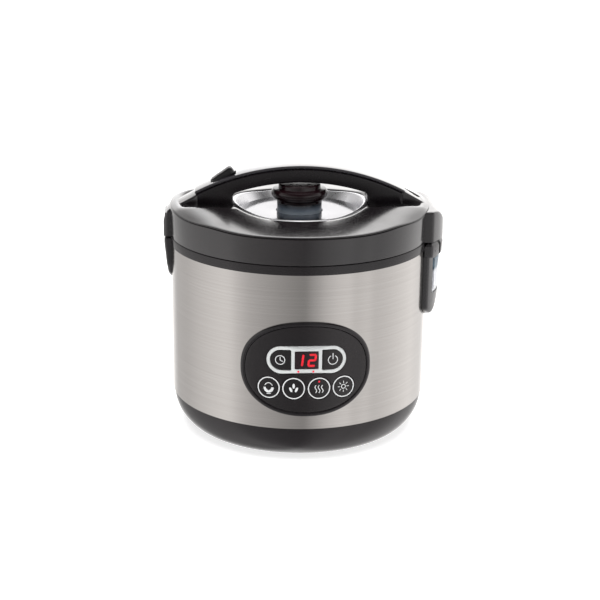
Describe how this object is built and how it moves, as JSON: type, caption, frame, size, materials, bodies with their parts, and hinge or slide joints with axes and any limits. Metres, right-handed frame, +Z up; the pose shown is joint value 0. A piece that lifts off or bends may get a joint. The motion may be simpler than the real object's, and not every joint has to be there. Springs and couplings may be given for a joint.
{
  "type": "electric rice cooker",
  "caption": "Drum-shaped electric rice cooker with a steel body, dark hinged lid under a bridge handle, a twist-out steam valve and a front panel of push buttons.",
  "frame": {"origin": "centre of the overall footprint at floor level; the pot axis stands 4.85 mm towards -X from it", "axes": "+Z up, -Y towards the control panel, +X towards the lid hinge, -X towards the latch"},
  "size_m": [0.273, 0.255, 0.259],
  "materials": {
    "foot_rubber": "matte",
    "base_plastic": "semi-gloss",
    "fastener_steel": "satin",
    "brushed_steel": "brushed",
    "collar_plastic": "gloss",
    "liner_metal": "satin",
    "heater_band": "matte",
    "cast_plate": "cast",
    "spring_steel": "satin",
    "sensor_metal": "satin",
    "ceramic": "matte",
    "pot_coating": "non-stick",
    "board_green": "satin",
    "inlet_plastic": "matte",
    "pin_brass": "satin",
    "hinge_plastic": "semi-gloss",
    "clear_plastic": "clear",
    "bezel_plastic": "gloss",
    "panel_film": "gloss",
    "frame_silver": "satin",
    "window_smoke": "gloss",
    "digit_red": "glowing",
    "led_red": "glowing",
    "lid_plastic": "gloss",
    "tray_plastic": "satin",
    "gasket_silicone": "matte",
    "polished_steel": "polished",
    "trim_chrome": "polished",
    "valve_smoke": "translucent",
    "cap_plastic": "semi-gloss",
    "handle_plastic": "semi-gloss",
    "handle_top": "gloss",
    "button_black": "satin",
    "panel_button": "gloss"
  },
  "bodies": {
    "base": {"rubber_feet": "foot_rubber", "base_plate": "base_plastic", "base_screws": "fastener_steel", "base_shell": "base_plastic", "body_shell": "brushed_steel", "rim_collar": "collar_plastic", "inner_liner": "liner_metal", "keep_warm_heater": "heater_band", "heating_plate": "cast_plate", "sensor_guide": "liner_metal", "thermostat_spring": "spring_steel", "thermal_fuse": "ceramic", "cooking_pot": "pot_coating", "power_board": "board_green", "power_inlet": "inlet_plastic", "inlet_pins": "pin_brass", "hinge_housing": "hinge_plastic", "hinge_pin": "fastener_steel", "hinge_spring": "spring_steel", "latch_housing": "hinge_plastic", "panel_bezel": "bezel_plastic", "panel_face": "panel_film", "display_frame": "frame_silver", "display_window": "window_smoke", "display_digits": "digit_red", "indicator_leds": "led_red", "display_module": "inlet_plastic", "circuit_board": "board_green", "tact_switches": "fastener_steel"},
    "lid": {"lid_ring": "lid_plastic", "lid_cover": "lid_plastic", "lid_inner_tray": "tray_plastic", "inner_lid_plate": "liner_metal", "lid_gasket": "gasket_silicone", "lid_screws": "fastener_steel", "hinge_cover": "lid_plastic", "latch_cover": "lid_plastic", "center_disc": "polished_steel", "disc_trim_ring": "trim_chrome", "valve_seat": "gasket_silicone", "handle_grip": "handle_plastic", "handle_cover": "handle_top", "handle_screws": "fastener_steel"},
    "latch_hook": {"latch_hook": "fastener_steel"},
    "release_button": {"release_button": "button_black"},
    "steam_valve": {"steam_valve_body": "valve_smoke", "steam_valve_cap": "cap_plastic"},
    "condensate_collector": {"condensate_collector": "clear_plastic"},
    "thermostat_sensor": {"thermostat_sensor": "sensor_metal"},
    "timer_button": {"timer_button": "panel_button"},
    "power_button": {"power_button": "panel_button"},
    "white_rice_button": {"white_rice_button": "panel_button"},
    "brown_rice_button": {"brown_rice_button": "panel_button"},
    "steam_button": {"steam_button": "panel_button"},
    "warm_button": {"warm_button": "panel_button"}
  },
  "joints": [
    {"name": "lid_hinge", "type": "hinge", "parent": "base", "child": "lid", "pos_m": [0.12315, 0, 0.181], "axis": [0, 1, 0], "range_deg": [0, 80]},
    {"name": "release_press", "type": "slide", "parent": "lid", "child": "release_button", "axis": [0.5878, 0, -0.809], "range_m": [0, 0.003], "stiffness_N_per_m": 600, "springref_m": -0.002},
    {"name": "latch_turn", "type": "hinge", "parent": "lid", "child": "latch_hook", "pos_m": [-0.13345, 0, 0.208], "axis": [0, 1, 0], "range_deg": [0, 2.3]},
    {"name": "steam_valve_twist", "type": "hinge", "parent": "lid", "child": "steam_valve", "pos_m": [-0.00485, 0, 0.211], "axis": [0, 0, 1], "range_deg": [0, 60]},
    {"name": "collector_slide", "type": "slide", "parent": "base", "child": "condensate_collector", "axis": [1, 0, 0], "range_m": [0, 0.03]},
    {"name": "sensor_plunge", "type": "slide", "parent": "base", "child": "thermostat_sensor", "axis": [0, 0, 1], "range_m": [-0.0025, 0], "stiffness_N_per_m": 400, "springref_m": 0.004, "deforming": ["thermostat_spring"]},
    {"name": "timer_button_press", "type": "slide", "parent": "base", "child": "timer_button", "axis": [0.1874, 0.9823, 0], "range_m": [0, 0.0008], "stiffness_N_per_m": 1500, "springref_m": -0.0006},
    {"name": "power_button_press", "type": "slide", "parent": "base", "child": "power_button", "axis": [-0.1874, 0.9823, 0], "range_m": [0, 0.0008], "stiffness_N_per_m": 1500, "springref_m": -0.0006},
    {"name": "white_rice_button_press", "type": "slide", "parent": "base", "child": "white_rice_button", "axis": [0.2723, 0.9622, 0], "range_m": [0, 0.0008], "stiffness_N_per_m": 1500, "springref_m": -0.0006},
    {"name": "brown_rice_button_press", "type": "slide", "parent": "base", "child": "brown_rice_button", "axis": [0.0924, 0.9957, 0], "range_m": [0, 0.0008], "stiffness_N_per_m": 1500, "springref_m": -0.0006},
    {"name": "steam_button_press", "type": "slide", "parent": "base", "child": "steam_button", "axis": [-0.0924, 0.9957, 0], "range_m": [0, 0.0008], "stiffness_N_per_m": 1500, "springref_m": -0.0006},
    {"name": "warm_button_press", "type": "slide", "parent": "base", "child": "warm_button", "axis": [-0.2723, 0.9622, 0], "range_m": [0, 0.0008], "stiffness_N_per_m": 1500, "springref_m": -0.0006}
  ],
  "couplings": [
    {"joint": "latch_turn", "follows": "release_press", "rad_per_m": 13.381}
  ]
}
